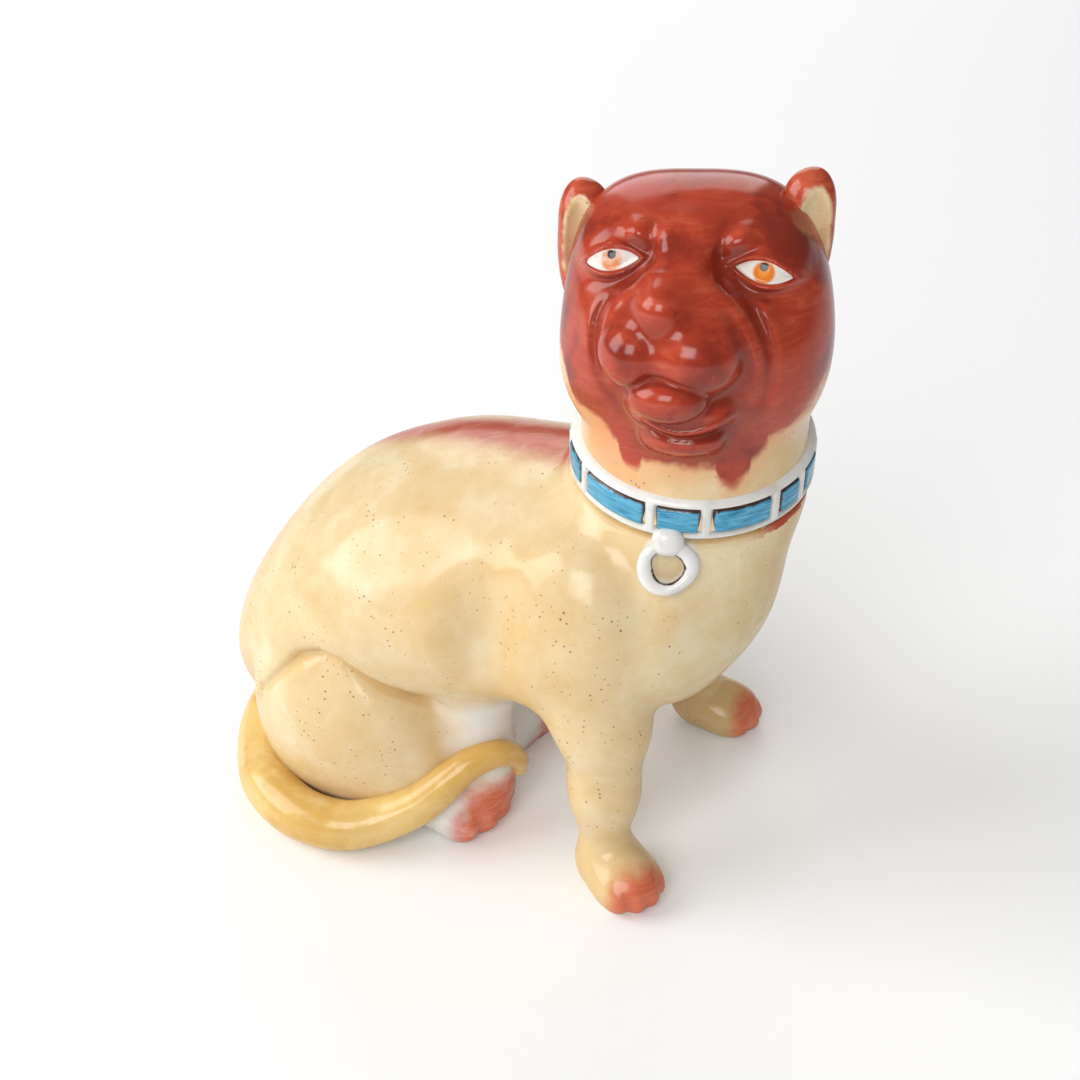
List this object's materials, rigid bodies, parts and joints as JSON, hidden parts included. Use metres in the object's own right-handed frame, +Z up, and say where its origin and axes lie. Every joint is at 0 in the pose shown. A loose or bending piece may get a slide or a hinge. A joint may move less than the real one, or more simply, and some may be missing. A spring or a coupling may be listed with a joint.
{
  "type": "seated dog figure",
  "caption": "Hollow glazed pottery figure of a seated pug with its head turned, wearing a collar with blue panels and a moulded ring; stands free as an ornament.",
  "frame": {"origin": "middle of the closing slab's underside, on the floor", "axes": "+Z up, the dog's body faces -Y, +X is the dog's left"},
  "size_m": [0.163, 0.2205, 0.2526],
  "materials": {
    "body_glaze": "clear glaze over cream and amber",
    "face_glaze": "clear glaze over red-brown brushwork",
    "white_glaze": "clear glaze over white clay",
    "tail_glaze": "clear glaze over ochre",
    "blue_enamel": "gloss enamel",
    "bare_clay": "unglazed fired clay"
  },
  "bodies": {
    "root": {"body_left_shell": "body_glaze", "body_right_shell": "body_glaze", "base_slab": "bare_clay", "face_shell": "face_glaze", "head_back_shell": "body_glaze", "neck_joint_coil": "bare_clay", "ear_left": "face_glaze", "ear_right": "face_glaze", "foreleg_left": "body_glaze", "foreleg_right": "body_glaze", "hind_leg_left": "white_glaze", "hind_leg_right": "white_glaze", "tail": "tail_glaze", "collar_band": "white_glaze", "collar_enamel_panels": "blue_enamel", "collar_lug": "white_glaze", "collar_ring": "white_glaze"}
  },
  "joints": []
}
